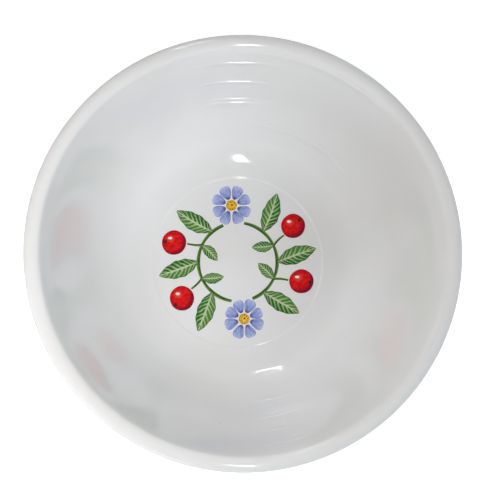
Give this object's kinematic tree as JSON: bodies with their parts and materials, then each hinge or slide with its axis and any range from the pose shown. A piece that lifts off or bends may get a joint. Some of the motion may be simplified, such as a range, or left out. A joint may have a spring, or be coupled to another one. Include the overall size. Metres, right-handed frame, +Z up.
{
  "type": "porcelain bowl",
  "caption": "Round porcelain bowl with a round rolled lip, soft throwing rings inside, a flat printed well and a turned foot ring, for serving cereal, soup or fruit.",
  "frame": {"origin": "middle of the foot ring's resting face, on the table", "axes": "+Z up along the bowl's axis of revolution, +X and +Y level, with +X through the middle of one printed spray"},
  "size_m": [0.16, 0.16, 0.064],
  "materials": {
    "clay": "matte",
    "glaze": "polished",
    "print_green": "gloss",
    "print_red": "gloss",
    "print_blue": "gloss",
    "print_yellow": "gloss"
  },
  "bodies": {
    "root": {"porcelain_body": "clay", "glaze_coat": "glaze", "base_glaze": "glaze", "leaf_spray_1": "print_green", "leaf_spray_2": "print_green", "berry_1": "print_red", "berry_2": "print_red", "berry_3": "print_red", "berry_4": "print_red", "blossom_1": "print_blue", "blossom_2": "print_blue", "blossom_eye_1": "print_yellow", "blossom_eye_2": "print_yellow"}
  },
  "joints": []
}
